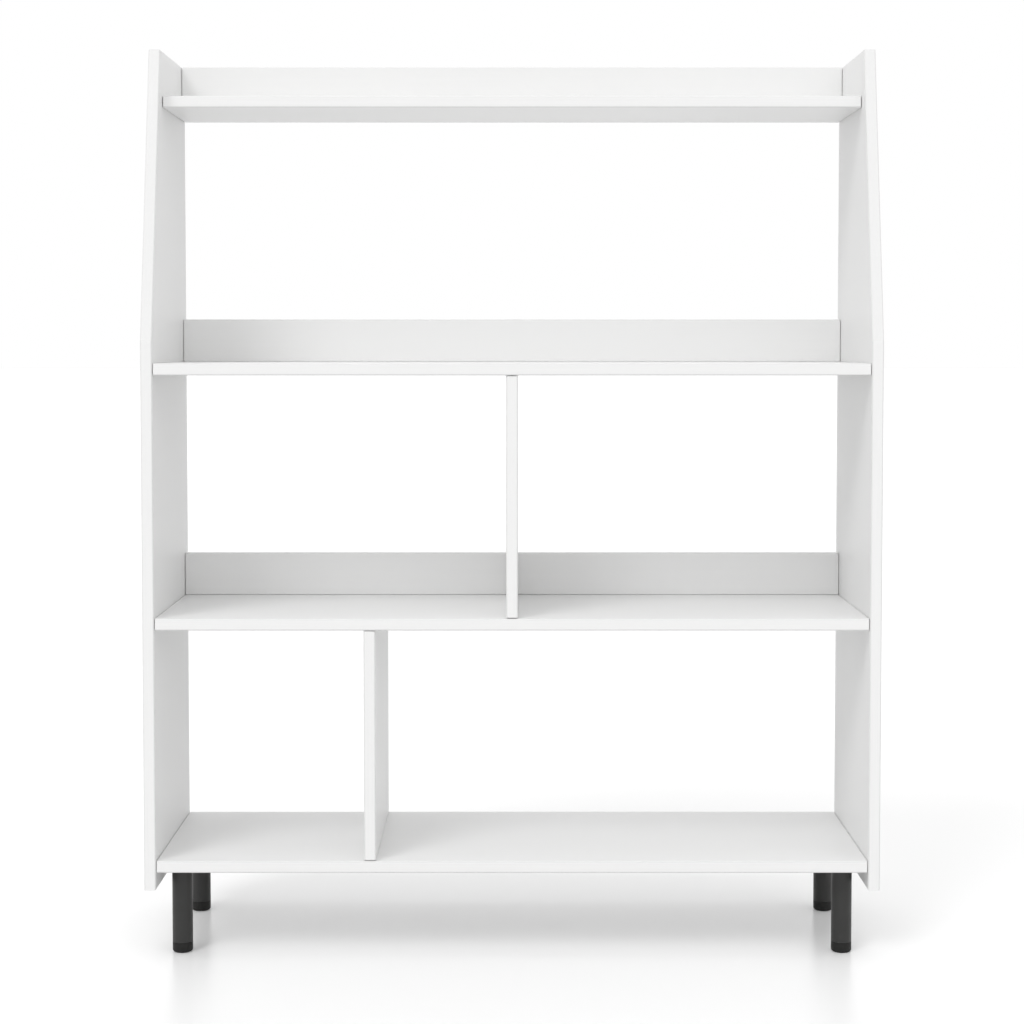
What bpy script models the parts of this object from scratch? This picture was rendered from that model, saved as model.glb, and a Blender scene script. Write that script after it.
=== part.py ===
"""White bookcase on four round legs with levelling feet.

Metres, +Z up. The origin is on the floor, midway between the side panels and midway
between their front and back edges. The front looks to -Y, and +X is to the right of
someone who stands in front of it.
"""

import math

import bmesh
import bpy
from mathutils import Vector

# Case
WIDTH = 1.000
DEPTH = 0.300
BOARD = 0.016
ARRIS = 0.0008

# Heights, from the floor up
LEG_HEIGHT = 0.120
LOWER_OPENING = 0.315
MIDDLE_OPENING = 0.329
UPPER_OPENING = 0.353

# Side panels: how far they hang below the bottom shelf, how far above the middle shelf
# their front edge starts to slope, and how far back the slope has come at the top,
# which is level with the top rail
SIDE_DROP = 0.024
SLOPE_START = 0.030
SLOPE_SETBACK = 0.085

# Shelves, back rails and dividers
TOP_SHELF_SETBACK = 0.0975
RAIL_HEIGHT = 0.062
RAIL_INSET = 0.015
DIVIDER_SETBACK = 0.001
UPPER_DIVIDER_X = 0.0
LOWER_DIVIDER_X = -0.193

# Legs: steel tube with a welded top disc and stud
LEG_RADIUS = 0.014
LEG_WALL = 0.0015
LEG_DISC = 0.003
LEG_CHAMFER = 0.0004
LEG_FROM_EDGE = 0.045
FRONT_LEG_FROM_SIDE = 0.029
BACK_LEG_FROM_SIDE = 0.023
STUD_RADIUS = 0.004
STUD_CHAMFER = 0.0008
STUD_REACH = 0.011
INSERT_RADIUS = 0.0055
INSERT_LENGTH = 0.011
INSERT_SINK = 0.0005

# Levelling feet: pad, stud with a captive head, and threaded plug in the tube
FOOT_HEIGHT = 0.014
FOOT_ROUNDING = 0.0025
FOOT_STUD_RISE = 0.025
FOOT_HEAD_RADIUS = 0.0065
FOOT_HEAD_THICKNESS = 0.0025
FOOT_HEAD_LIFT = 0.004
PLUG_LENGTH = 0.015

# One-piece connecting screws with a countersunk head and a hexagon socket
SCREW_LENGTH = 0.050
SCREW_RADIUS = 0.0035
SCREW_CORE_RADIUS = 0.0025
SCREW_NECK = 0.019
SCREW_RIBS = 3
SCREW_TIP = 0.003
SCREW_HEAD_RADIUS = 0.005
SCREW_HEAD_RIM = 0.0008
SCREW_SINK = 0.0002
SOCKET_ACROSS_FLATS = 0.004
SOCKET_DEPTH = 0.0022
SCREW_BEHIND_LEG = 0.019

# Dowels in the tops of the dividers
DOWEL_RADIUS = 0.004
DOWEL_LENGTH = 0.030
DOWEL_CHAMFER = 0.001
DOWEL_IN_SHELF = 0.010

# Clearances: between pieces that touch, at the blind end of a hole, and how far a
# cutter runs out of the board
GAP = 0.0003
HOLE_END = 0.001
RUN_OUT = 0.003

# Facets of round pieces
LEG_SIDES = 20
FASTENER_SIDES = 10
SOCKET_SIDES = 6
ARRIS_STEPS = 2
ROUNDING_STEPS = 2
ROUND_PROFILE = 0.5
WELD = 1e-6
SMOOTH_ANGLE = math.radians(40)

# Planes of the case
FRONT = -DEPTH / 2
BACK = DEPTH / 2
OUTER = WIDTH / 2
INNER = OUTER - BOARD
TOP_SHELF_FRONT = FRONT + TOP_SHELF_SETBACK
RAIL_BACK = BACK - RAIL_INSET
RAIL_FRONT = RAIL_BACK - BOARD
DIVIDER_FRONT = FRONT + DIVIDER_SETBACK
SCREW_INSET = LEG_FROM_EDGE + SCREW_BEHIND_LEG

# Undersides of the shelves
BOTTOM_SHELF = LEG_HEIGHT
LOWER_SHELF = BOTTOM_SHELF + BOARD + LOWER_OPENING
MIDDLE_SHELF = LOWER_SHELF + BOARD + MIDDLE_OPENING
TOP_SHELF = MIDDLE_SHELF + BOARD + UPPER_OPENING
SIDE_BOTTOM = BOTTOM_SHELF - SIDE_DROP
SIDE_HEIGHT = TOP_SHELF + BOARD + RAIL_HEIGHT - SIDE_BOTTOM

SIDES = (("left", -1), ("right", 1))
LEG_ROWS = (
    ("front", -1, FRONT_LEG_FROM_SIDE),
    ("back", 1, BACK_LEG_FROM_SIDE),
)
SHELVES = (
    ("bottom", BOTTOM_SHELF, FRONT),
    ("lower", LOWER_SHELF, FRONT),
    ("middle", MIDDLE_SHELF, FRONT),
    ("top", TOP_SHELF, TOP_SHELF_FRONT),
)
RAILS = SHELVES[1:]
DIVIDERS = (
    ("upper", UPPER_DIVIDER_X, LOWER_SHELF, MIDDLE_SHELF, RAIL_FRONT - GAP),
    ("lower", LOWER_DIVIDER_X, BOTTOM_SHELF, LOWER_SHELF, BACK),
)
UP = Vector((0, 0, 1))


def clear_scene():
    for obj in list(bpy.data.objects):
        bpy.data.objects.remove(obj, do_unlink=True)


def finish_of(name, colour, roughness, metallic=0.0):
    """A Principled material with a plain colour."""
    material = bpy.data.materials.new(name)
    material.use_nodes = True
    shader = material.node_tree.nodes["Principled BSDF"]
    shader.inputs["Base Color"].default_value = (*colour, 1.0)
    shader.inputs["Roughness"].default_value = roughness
    shader.inputs["Metallic"].default_value = metallic
    material.diffuse_color = (*colour, 1.0)
    return material


def add(name, mesh, material=None, at=(0, 0, 0), along=(0, 0, 1), parent=None):
    """An object that shows the mesh at a place, its local Z turned to a direction."""
    obj = bpy.data.objects.new(name, mesh)
    obj.location = at
    obj.rotation_euler = UP.rotation_difference(Vector(along)).to_euler()
    obj.parent = parent
    bpy.context.scene.collection.objects.link(obj)
    if material and mesh.name not in finished_meshes:
        mesh.materials.append(material)
        finished_meshes.add(mesh.name)
    return obj


def mesh_from(bm, name):
    """The mesh of a finished bmesh, faces outward and round stretches smooth."""
    bmesh.ops.recalc_face_normals(bm, faces=bm.faces)
    mesh = bpy.data.meshes.new(name)
    bm.to_mesh(mesh)
    bm.free()
    mesh.shade_smooth()
    mesh.set_sharp_from_angle(angle=SMOOTH_ANGLE)
    return mesh


def turned(name, profile, sides, ring=False):
    """A mesh turned about Z from (radius, height) points; a ring's outline closes on itself."""
    bm = bmesh.new()
    verts = [bm.verts.new((radius, 0, height)) for radius, height in profile]
    ends = verts[1:] + verts[:1] if ring else verts[1:]
    edges = [bm.edges.new(pair) for pair in zip(verts, ends)]
    bmesh.ops.spin(
        bm,
        geom=verts + edges,
        cent=(0, 0, 0),
        axis=(0, 0, 1),
        angle=math.tau,
        steps=sides,
        use_merge=True,
    )
    bmesh.ops.remove_doubles(bm, verts=bm.verts, dist=WELD)
    return mesh_from(bm, name)


def around(radius, sides):
    """Corner radius of a faceted hole whose flats clear a round of this radius."""
    return (radius + GAP) / math.cos(math.pi / sides)


def within(radius, sides):
    """Corner radius of a piece that clears the flats of a faceted bore of this radius."""
    return radius * math.cos(math.pi / sides) - GAP


def round_arrises(bm, edges):
    bmesh.ops.bevel(
        bm,
        geom=edges,
        offset=ARRIS,
        segments=ARRIS_STEPS,
        profile=ROUND_PROFILE,
        affect="EDGES",
    )


def ease(bm, along, across, ends):
    """Rounds the arrises that run along one axis and bound the faces at the given ends of another."""
    edges = []
    for edge in bm.edges:
        start, end = (vert.co for vert in edge.verts)
        middle = (start + end) / 2
        runs_along = abs(getattr(end - start, along)) > WELD
        bounds_end = any(getattr(middle, across) * sign > WELD for sign in ends)
        if runs_along and bounds_end:
            edges.append(edge)
    round_arrises(bm, edges)


def board(name, low, high, along, across, ends):
    """A straight board between two corners, with its long arrises eased."""
    low = Vector(low)
    high = Vector(high)
    bm = bmesh.new()
    bmesh.ops.create_cube(bm, size=1)
    bmesh.ops.scale(bm, vec=high - low, verts=bm.verts)
    ease(bm, along, across, ends)
    return add(name, mesh_from(bm, name), white_board, at=(low + high) / 2)


def side_panel(side, sign):
    """A side panel: five-sided outline, its origin on the lower edge of its middle plane."""
    slope_start = MIDDLE_SHELF + BOARD + SLOPE_START - SIDE_BOTTOM
    outline = (
        (FRONT, 0),
        (FRONT, slope_start),
        (FRONT + SLOPE_SETBACK, SIDE_HEIGHT),
        (BACK, SIDE_HEIGHT),
        (BACK, 0),
    )
    bm = bmesh.new()
    face = bm.faces.new([bm.verts.new((-BOARD / 2, y, z)) for y, z in outline])
    swept = bmesh.ops.extrude_face_region(bm, geom=[face])["geom"]
    moved = [item for item in swept if isinstance(item, bmesh.types.BMVert)]
    bmesh.ops.translate(bm, vec=(BOARD, 0, 0), verts=moved)
    round_arrises(bm, [e for e in bm.edges if abs(e.verts[0].co.x - e.verts[1].co.x) < WELD])
    name = f"{side}_side_panel"
    at = (sign * (OUTER - BOARD / 2), 0, SIDE_BOTTOM)
    return add(name, mesh_from(bm, name), white_board, at=at)


def shelf(level, underside, front):
    reach = INNER - GAP
    low = (-reach, front, underside)
    high = (reach, BACK, underside + BOARD)
    return board(f"{level}_shelf", low, high, "x", "y", (-1, 1))


def back_rail(level, underside):
    """A rail on edge on its shelf, with only its upper arrises eased."""
    foot = underside + BOARD
    reach = INNER - GAP
    low = (-reach, RAIL_FRONT, foot + GAP)
    high = (reach, RAIL_BACK, foot + RAIL_HEIGHT)
    return board(f"{level}_back_rail", low, high, "x", "z", (1,))


def divider(level, x, below, above, back):
    """An upright between two shelves, given their undersides."""
    low = (x - BOARD / 2, DIVIDER_FRONT, below + BOARD + GAP)
    high = (x + BOARD / 2, back, above - GAP)
    return board(f"{level}_divider", low, high, "z", "y", (-1, 1))


def screw_mesh():
    """A screw along +Z from its head at 0: rim, countersunk cone, neck, ribbed thread and tip."""
    cone = SCREW_HEAD_RIM + SCREW_HEAD_RADIUS - SCREW_RADIUS
    shoulder = SCREW_NECK + SCREW_RADIUS - SCREW_CORE_RADIUS
    pitch = (SCREW_LENGTH - SCREW_TIP - shoulder) / SCREW_RIBS
    profile = [
        (0, 0),
        (SCREW_HEAD_RADIUS, 0),
        (SCREW_HEAD_RADIUS, SCREW_HEAD_RIM),
        (SCREW_RADIUS, cone),
        (SCREW_RADIUS, SCREW_NECK),
    ]
    for turn in range(SCREW_RIBS):
        start = shoulder + turn * pitch
        profile.append((SCREW_CORE_RADIUS, start))
        profile.append((SCREW_RADIUS, start + pitch / 2))
    profile.append((SCREW_CORE_RADIUS, SCREW_LENGTH - SCREW_TIP))
    profile.append((0, SCREW_LENGTH))
    return with_socket(turned("screw", profile, FASTENER_SIDES))


def with_socket(mesh):
    """The mesh with a hexagon socket sunk into its end at z = 0."""
    corner_radius = SOCKET_ACROSS_FLATS / 2 / math.cos(math.pi / SOCKET_SIDES)
    bm = bmesh.new()
    bmesh.ops.create_cone(
        bm,
        cap_ends=True,
        segments=SOCKET_SIDES,
        radius1=corner_radius,
        radius2=corner_radius,
        depth=2 * SOCKET_DEPTH,
    )
    body = add("screw_blank", mesh)
    socket = add("socket_cutter", mesh_from(bm, "socket"))
    cut = body.modifiers.new("socket", "BOOLEAN")
    cut.operation = "DIFFERENCE"
    cut.solver = "EXACT"
    cut.object = socket
    graph = bpy.context.evaluated_depsgraph_get()
    made = bpy.data.meshes.new_from_object(body.evaluated_get(graph))
    made.name = "socket_screw"
    bpy.data.objects.remove(body)
    bpy.data.objects.remove(socket)
    return made


def screw_hole_mesh():
    """What a screw passes: its outline with the clearance, run out past the head."""
    head = around(SCREW_HEAD_RADIUS, FASTENER_SIDES)
    shank = around(SCREW_RADIUS, FASTENER_SIDES)
    end = SCREW_LENGTH + HOLE_END
    profile = [
        (0, -RUN_OUT),
        (head, -RUN_OUT),
        (head, SCREW_HEAD_RIM),
        (shank, SCREW_HEAD_RIM + head - shank),
        (shank, end),
        (0, end),
    ]
    return turned("screw_hole", profile, FASTENER_SIDES)


def rod_mesh(name, radius, start, end, chamfer, sides):
    """A rod from one height to another with both ends chamfered."""
    profile = [
        (0, start),
        (radius - chamfer, start),
        (radius, start + chamfer),
        (radius, end - chamfer),
        (radius - chamfer, end),
        (0, end),
    ]
    return turned(name, profile, sides)


def sleeve_mesh(name, inner, outer, start, end, sides):
    profile = [(inner, start), (outer, start), (outer, end), (inner, end)]
    return turned(name, profile, sides, ring=True)


def drill(mesh, name, at, along=(0, 0, 1)):
    """A cutter for every board that it passes."""
    cutter = add(name, mesh, at=at, along=along)
    cutter.hide_render = True
    cutter.display_type = "WIRE"
    bpy.context.scene.collection.objects.unlink(cutter)
    holes.objects.link(cutter)


def fasten(name, surface, along):
    """A screw driven in from a point on a board's surface, and its hole."""
    at = Vector(surface) + Vector(along) * SCREW_SINK
    add(name, screw, zinc_steel, at=at, along=along)
    drill(screw_hole, f"{name}_hole", at, along)


def shelf_screws(side, sign):
    for level, underside, front in SHELVES:
        z = underside + BOARD / 2
        rows = (("front", front + SCREW_INSET), ("back", BACK - SCREW_INSET))
        for row, y in rows:
            fasten(f"{level}_shelf_screw_{side}_{row}", (sign * OUTER, y, z), (-sign, 0, 0))


def rail_screws(side, sign):
    y = (RAIL_FRONT + RAIL_BACK) / 2
    for level, underside, _ in RAILS:
        z = underside + BOARD + RAIL_HEIGHT / 2
        fasten(f"{level}_rail_screw_{side}", (sign * OUTER, y, z), (-sign, 0, 0))


def divider_fixings(level, x, below, above, back):
    """Two screws up through the shelf below a divider, and a dowel into the shelf above it."""
    for row, y in (("front", DIVIDER_FRONT + SCREW_INSET), ("back", back - SCREW_INSET)):
        fasten(f"{level}_divider_screw_{row}", (x, y, below), (0, 0, 1))
    seat = (x, (DIVIDER_FRONT + back) / 2, above + DOWEL_IN_SHELF - DOWEL_LENGTH)
    add(f"{level}_divider_dowel", dowel, beech, at=seat)
    drill(dowel_hole, f"{level}_divider_dowel_hole", seat)


def leg_mesh():
    """A tube open below, closed above by a disc with a threaded stud."""
    bore = LEG_RADIUS - LEG_WALL
    top = LEG_HEIGHT - GAP
    tip = top + STUD_REACH
    profile = [
        (0, top - LEG_DISC),
        (bore, top - LEG_DISC),
        (bore, FOOT_HEIGHT),
        (LEG_RADIUS - LEG_CHAMFER, FOOT_HEIGHT),
        (LEG_RADIUS, FOOT_HEIGHT + LEG_CHAMFER),
        (LEG_RADIUS, top),
        (STUD_RADIUS, top),
        (STUD_RADIUS, tip - STUD_CHAMFER),
        (STUD_RADIUS - STUD_CHAMFER, tip),
        (0, tip),
    ]
    return turned("leg", profile, LEG_SIDES)


def insert_mesh():
    start = LEG_HEIGHT + INSERT_SINK
    inner = around(STUD_RADIUS, FASTENER_SIDES)
    end = start + INSERT_LENGTH
    return sleeve_mesh("leg_insert", inner, INSERT_RADIUS, start, end, FASTENER_SIDES)


def insert_hole_mesh():
    radius = around(INSERT_RADIUS, FASTENER_SIDES)
    start = LEG_HEIGHT - RUN_OUT
    end = LEG_HEIGHT + INSERT_SINK + INSERT_LENGTH + GAP
    return rod_mesh("insert_hole", radius, start, end, GAP, FASTENER_SIDES)


def plug_mesh():
    inner = around(STUD_RADIUS, LEG_SIDES)
    outer = within(LEG_RADIUS - LEG_WALL, LEG_SIDES)
    end = FOOT_HEIGHT + PLUG_LENGTH
    return sleeve_mesh("leg_plug", inner, outer, FOOT_HEIGHT, end, LEG_SIDES)


def foot_stud_mesh():
    """A threaded stud whose wide head turns in the pad."""
    neck = FOOT_HEAD_LIFT + FOOT_HEAD_THICKNESS
    tip = FOOT_HEIGHT + FOOT_STUD_RISE
    profile = [
        (0, FOOT_HEAD_LIFT),
        (FOOT_HEAD_RADIUS, FOOT_HEAD_LIFT),
        (FOOT_HEAD_RADIUS, neck),
        (STUD_RADIUS, neck),
        (STUD_RADIUS, tip - STUD_CHAMFER),
        (STUD_RADIUS - STUD_CHAMFER, tip),
        (0, tip),
    ]
    return turned("foot_stud", profile, FASTENER_SIDES)


def foot_pad_mesh():
    """A pad with a rounded lower edge, and a pocket that holds the stud's head."""
    pocket = around(FOOT_HEAD_RADIUS, LEG_SIDES)
    neck = around(STUD_RADIUS, LEG_SIDES)
    pocket_floor = FOOT_HEAD_LIFT - GAP
    pocket_roof = FOOT_HEAD_LIFT + FOOT_HEAD_THICKNESS + GAP
    top = FOOT_HEIGHT - GAP
    profile = [(0, 0)]
    for step in range(ROUNDING_STEPS + 1):
        angle = math.pi / 2 * step / ROUNDING_STEPS
        radius = LEG_RADIUS - FOOT_ROUNDING * (1 - math.sin(angle))
        profile.append((radius, FOOT_ROUNDING * (1 - math.cos(angle))))
    profile += [
        (LEG_RADIUS, top),
        (neck, top),
        (neck, pocket_roof),
        (pocket, pocket_roof),
        (pocket, pocket_floor),
        (0, pocket_floor),
    ]
    return turned("foot_pad", profile, LEG_SIDES)


def leg(side, sign, row, row_sign, from_side):
    """A leg with its insert, plug and levelling foot, all on one upright axis."""
    place = f"{row}_{side}"
    axis = bpy.data.objects.new(f"{place}_leg_axis", None)
    x = sign * (INNER - from_side)
    y = row_sign * (DEPTH / 2 - LEG_FROM_EDGE)
    axis.location = (x, y, 0)
    bpy.context.scene.collection.objects.link(axis)
    add(f"{place}_leg", leg_tube, black_steel, parent=axis)
    add(f"{place}_leg_insert", leg_insert, zinc_steel, parent=axis)
    add(f"{place}_leg_plug", leg_plug, black_plastic, parent=axis)
    stud = add(f"{place}_foot_stud", foot_stud, zinc_steel, parent=axis)
    add(f"{place}_foot_pad", foot_pad, black_plastic, parent=stud)
    drill(insert_hole, f"{place}_insert_hole", (x, y, 0))


clear_scene()
finished_meshes = set()
holes = bpy.data.collections.new("holes")
bpy.context.scene.collection.children.link(holes)

white_board = finish_of("white_board", (0.87, 0.87, 0.865), 0.42)
black_steel = finish_of("black_steel", (0.050, 0.050, 0.047), 0.48)
black_plastic = finish_of("black_plastic", (0.030, 0.030, 0.028), 0.55)
zinc_steel = finish_of("zinc_steel", (0.62, 0.63, 0.65), 0.32, 1.0)
beech = finish_of("beech_dowel", (0.55, 0.38, 0.22), 0.65)

screw = screw_mesh()
screw_hole = screw_hole_mesh()
dowel = rod_mesh("dowel", DOWEL_RADIUS, 0, DOWEL_LENGTH, DOWEL_CHAMFER, FASTENER_SIDES)
dowel_hole = rod_mesh(
    "dowel_hole",
    around(DOWEL_RADIUS, FASTENER_SIDES),
    -HOLE_END,
    DOWEL_LENGTH + HOLE_END,
    GAP,
    FASTENER_SIDES,
)
leg_tube = leg_mesh()
leg_insert = insert_mesh()
insert_hole = insert_hole_mesh()
leg_plug = plug_mesh()
foot_stud = foot_stud_mesh()
foot_pad = foot_pad_mesh()

boards = []
for side, sign in SIDES:
    boards.append(side_panel(side, sign))
    shelf_screws(side, sign)
    rail_screws(side, sign)
    for row in LEG_ROWS:
        leg(side, sign, *row)
for level, underside, front in SHELVES:
    boards.append(shelf(level, underside, front))
for level, underside, _ in RAILS:
    boards.append(back_rail(level, underside))
for upright in DIVIDERS:
    boards.append(divider(*upright))
    divider_fixings(*upright)

for piece in boards:
    bored = piece.modifiers.new("holes", "BOOLEAN")
    bored.operation = "DIFFERENCE"
    bored.operand_type = "COLLECTION"
    bored.solver = "EXACT"
    bored.collection = holes
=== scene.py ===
"""Looks of a white bookcase on four black steel legs with levelling feet.

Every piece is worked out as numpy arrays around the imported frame, in metres, with +Z up
and the front looking to -Y. Boards get a core, edge bands and bored holes; screws and
studs get their threads; legs and feet get their coats; the stage gets floor, light and
camera.
"""

import math

import bpy
import numpy as np
from bpy.props import FloatProperty, FloatVectorProperty, IntProperty, PointerProperty
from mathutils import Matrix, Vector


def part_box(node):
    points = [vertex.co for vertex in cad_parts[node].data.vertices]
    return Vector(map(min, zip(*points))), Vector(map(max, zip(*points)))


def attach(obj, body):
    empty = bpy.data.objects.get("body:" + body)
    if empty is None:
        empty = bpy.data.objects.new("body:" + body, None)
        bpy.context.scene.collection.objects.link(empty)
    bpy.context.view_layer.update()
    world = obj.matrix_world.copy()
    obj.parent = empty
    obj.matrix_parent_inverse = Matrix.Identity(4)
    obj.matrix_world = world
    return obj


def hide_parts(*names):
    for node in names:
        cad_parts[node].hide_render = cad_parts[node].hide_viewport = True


bl_info = {
    "name": "Bookcase finish",
    "version": (1, 0, 0),
    "blender": (4, 5, 0),
    "location": "3D View > Sidebar > Bookcase",
    "description": "Boards, edge bands, fasteners, legs and stage of a white bookcase",
    "category": "Object",
}

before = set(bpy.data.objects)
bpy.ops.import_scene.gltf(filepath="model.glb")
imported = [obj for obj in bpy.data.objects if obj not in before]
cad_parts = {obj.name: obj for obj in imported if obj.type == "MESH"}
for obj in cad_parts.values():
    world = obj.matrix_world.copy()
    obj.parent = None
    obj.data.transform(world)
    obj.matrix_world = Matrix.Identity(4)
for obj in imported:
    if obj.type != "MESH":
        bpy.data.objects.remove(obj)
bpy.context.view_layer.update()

CASE = "case"
SIDES = ("left", "right")
LEVELS = ("bottom", "lower", "middle", "top")
RAIL_LEVELS = LEVELS[1:]
DIVIDER_LEVELS = ("upper", "lower")
PLACES = tuple(f"{row}_{side}" for row in ("front", "back") for side in SIDES)
SCREWS = tuple(name for name in sorted(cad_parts) if "_screw" in name)
X, Y, Z = range(3)
AXES = "xyz"

# How finely curved surfaces are drawn: steps in a quarter circle, sides of legs and feet,
# sides of screws, rings in a turn of a thread, and points round each flute of a dowel
ARC_STEPS = 5
ROUND = 48
THREAD_ROUND = 24
STEPS_PER_TURN = 9
FLUTE_STEPS = 4

# Sides of a hexagon, and the angle past which a smooth piece keeps an edge sharp
HEX = 6
SHARP = math.radians(35)

# Shape of a thread's ridge, how many times narrower than its core a screw's point is, a
# dowel's chamfer in flute depths, and the most that a thin bar's end is drawn in
RIDGE_STEEPNESS = 2.6
RIDGE_CUT = 0.9
POINT_TAPER = 3
DOWEL_CHAMFER = 4
MOST_INSET = 0.9

# A rectangle's corners in the order of its outline, which stretch of a side panel's outline
# is its slope, and the finishes that the faces of a band have, with their numbers: the
# plain band, then two darker copies of it that are painted shade, one for the slope, which
# catches more light, and one for the rounded arrises
CORNERS = np.array([(1.0, -1.0), (1.0, 1.0), (-1.0, 1.0), (-1.0, -1.0)])
SLOPE = 3
BAND_PARTS = ("edge", "sloping", "scraped")
EDGE, PAINTED_SLOPE_SHADE, PAINTED_ARRIS_SHADE = range(len(BAND_PARTS))

# The range that most of a noise's values lie in, specular levels of satin and of dull
# surfaces, how much the floor's roughness varies, white, and the camera's sensor
NOISE_LOW = 0.25
NOISE_HIGH = 0.75
SATIN = 0.45
DULL = 0.28
FLOOR_VARIATION = 0.03
WHITE = (1.0, 1.0, 1.0, 1.0)
SENSOR_WIDTH = 36.0


def length(name, default, description):
    """A size property in metres."""
    return FloatProperty(
        name=name, default=default, description=description, unit="LENGTH", precision=5
    )


def number(name, default, description):
    """A property that is a plain number."""
    return FloatProperty(name=name, default=default, description=description)


def colour(name, default, description):
    """A linear colour property."""
    return FloatVectorProperty(
        name=name, default=default, description=description, subtype="COLOR", size=3
    )


def angle(name, degrees, description):
    """An angle property, given in degrees."""
    return FloatProperty(
        name=name, default=math.radians(degrees), description=description, unit="ROTATION"
    )


class BoardSizes(bpy.types.PropertyGroup):
    """Sizes of the boards and their edge bands"""

    band: length("Edge band", 0.0020, "Thickness of the glued edge bands")
    arris: length("Arris", 0.0018, "Rounding of a band's outer arrises")
    seam: length("Seam", 0.00012, "Chamfer on both sides of a glue line")
    end: length("End chamfer", 0.0009, "Chamfer of a board's sawn ends and bare arrises")
    end_depth: length("End depth", 0.0020, "How deep the chamfer goes in at a sawn end")
    relief: length("Band relief", 0.0008, "How far a band stops short of its board's ends")
    slope_start: length("Slope start", 0.842, "Height at which the sides start to slope")
    slope_setback: length("Slope setback", 0.085, "How far back the slope comes at the top")


class FastenerSizes(bpy.types.PropertyGroup):
    """Sizes of the screws, the dowels and the holes they sit in"""

    clearance: length("Clearance", 0.0003, "Gap between a fastener and its hole")
    run_out: length("Run-out", 0.002, "How far a drill runs out of a board")
    head_radius: length("Head radius", 0.0050, "Radius of a screw's countersunk head")
    head_rim: length("Head rim", 0.0008, "Height of the head's upright rim")
    rim_rounding: length("Rim rounding", 0.0003, "Rounding of the head's upper edge")
    shank_radius: length("Shank radius", 0.0035, "Radius of a screw's neck and thread")
    core_radius: length("Core radius", 0.0025, "Radius at the root of a screw's thread")
    neck: length("Neck", 0.0190, "Length under the head's face without a thread")
    tip: length("Tip", 0.0030, "Length of a screw's point")
    pitch: length("Thread pitch", 0.0030, "Pitch of a screw's coarse thread")
    socket: length("Socket", 0.0040, "Width across the flats of the hexagon socket")
    socket_depth: length("Socket depth", 0.0022, "Depth of the hexagon socket")
    dowel_flutes: IntProperty(name="Flutes", default=16, description="Flutes of a dowel")
    flute_depth: length("Flute depth", 0.0003, "Depth of a dowel's flutes")


class LegSizes(bpy.types.PropertyGroup):
    """Sizes of the legs and the levelling feet"""

    wall: length("Tube wall", 0.0015, "Wall of the steel tube")
    disc: length("Top disc", 0.0030, "Thickness of the disc that closes the tube")
    lip: length("Lip", 0.0004, "Rounding of the tube's ends")
    foot_height: length("Foot height", 0.0140, "Floor to the seam above a foot pad")
    pad_rounding: length("Pad rounding", 0.0036, "Rounding of a pad's lower edge")
    pad_shoulder: length("Pad shoulder", 0.0004, "Rounding of a pad's upper edge")
    stud_radius: length("Stud radius", 0.0040, "Outer radius of the studs' thread")
    stud_pitch: length("Stud pitch", 0.00125, "Pitch of the studs' thread")
    thread_depth: length("Thread depth", 0.00065, "Depth of the studs' thread")
    insert_radius: length("Insert radius", 0.0055, "Outer radius of an insert nut")
    head_radius: length("Stud head radius", 0.0065, "Radius of the head held in a pad")
    head_height: length("Stud head height", 0.0025, "Height of the head held in a pad")
    dish_radius: length("Dish radius", 0.0066, "Radius of the shallow dish under a pad")
    dish_depth: length("Dish depth", 0.0003, "Depth of the dish, and width of its bevel")


class Finishes(bpy.types.PropertyGroup):
    """Colours of the finishes"""

    melamine: colour("Melamine", (0.860, 0.860, 0.857), "Face of the white boards")
    edge_band: colour("Edge band", (0.930, 0.930, 0.927), "Edge bands of the boards")
    # Painted shade: a darker copy of the edge band for the slopes, which catch more light
    sloping_band: colour("Sloping band", (0.873, 0.873, 0.870), "Edge bands on the slopes")
    # Painted shade: a darker copy of the edge band for the rounded outer arrises, standing
    # in for the shade along them
    scraped_band: colour("Scraped arris", (0.830, 0.830, 0.827), "Trimmed band arrises")
    chipboard: colour("Chipboard", (0.44, 0.33, 0.21), "Raw board inside the holes")
    coat: colour("Powder coat", (0.024, 0.024, 0.0228), "Coat of the steel legs")
    plastic: colour("Plastic", (0.0100, 0.0100, 0.0093), "Foot pads and tube plugs")
    zinc: colour("Zinc", (0.62, 0.63, 0.65), "Screws, studs and insert nuts")
    beech: colour("Beech", (0.55, 0.38, 0.22), "Dowels")
    floor: colour("Floor", (0.98, 0.98, 0.98), "The pale floor where it is looked at")
    floor_bounce: colour("Floor bounce", (0.70, 0.70, 0.70), "What the floor throws back")


class StageSettings(bpy.types.PropertyGroup):
    """The camera, the lamps and the floor"""

    lens: number("Lens", 73.06, "Focal length in millimetres")
    distance: length("Camera distance", 2.944, "Camera to the middle of the bookcase")
    height: length("Camera height", 0.8425, "Camera above the floor")
    tilt: angle("Tilt", 2.60, "How far the camera looks down")
    shift: number("Shift", -0.075, "Upright shift of the lens, in widths of the picture")
    sky: number("Sky", 0.757, "Light of the white surroundings")
    key: number("Key", 0.80, "Light of the left lamp")
    fill: number("Fill", 0.27, "Light of the right lamp")
    front: number("Front", 0.13, "Light of the front lamp")
    top: number("Top", 0.26, "Light of the lamp overhead")
    bearing: angle("Bearing", 35.0, "How far left and right of the front two lamps stand")
    elevation: angle("Elevation", 45.0, "How high the left and the right lamp stand")
    front_elevation: angle("Front elevation", 12.0, "How high the front lamp stands")
    key_softness: angle("Key softness", 24.0, "How wide the left and the top lamp look")
    fill_softness: angle("Fill softness", 60.0, "How wide the right and front lamp look")
    floor_radius: length("Floor radius", 60.0, "Radius of the floor disc")
    floor_gloss: number("Floor gloss", 0.24, "Least roughness of the floor")
    floor_lift: number("Floor lift", 0.05, "Glow of the floor where it is looked at")


# Shapes as arrays


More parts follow.
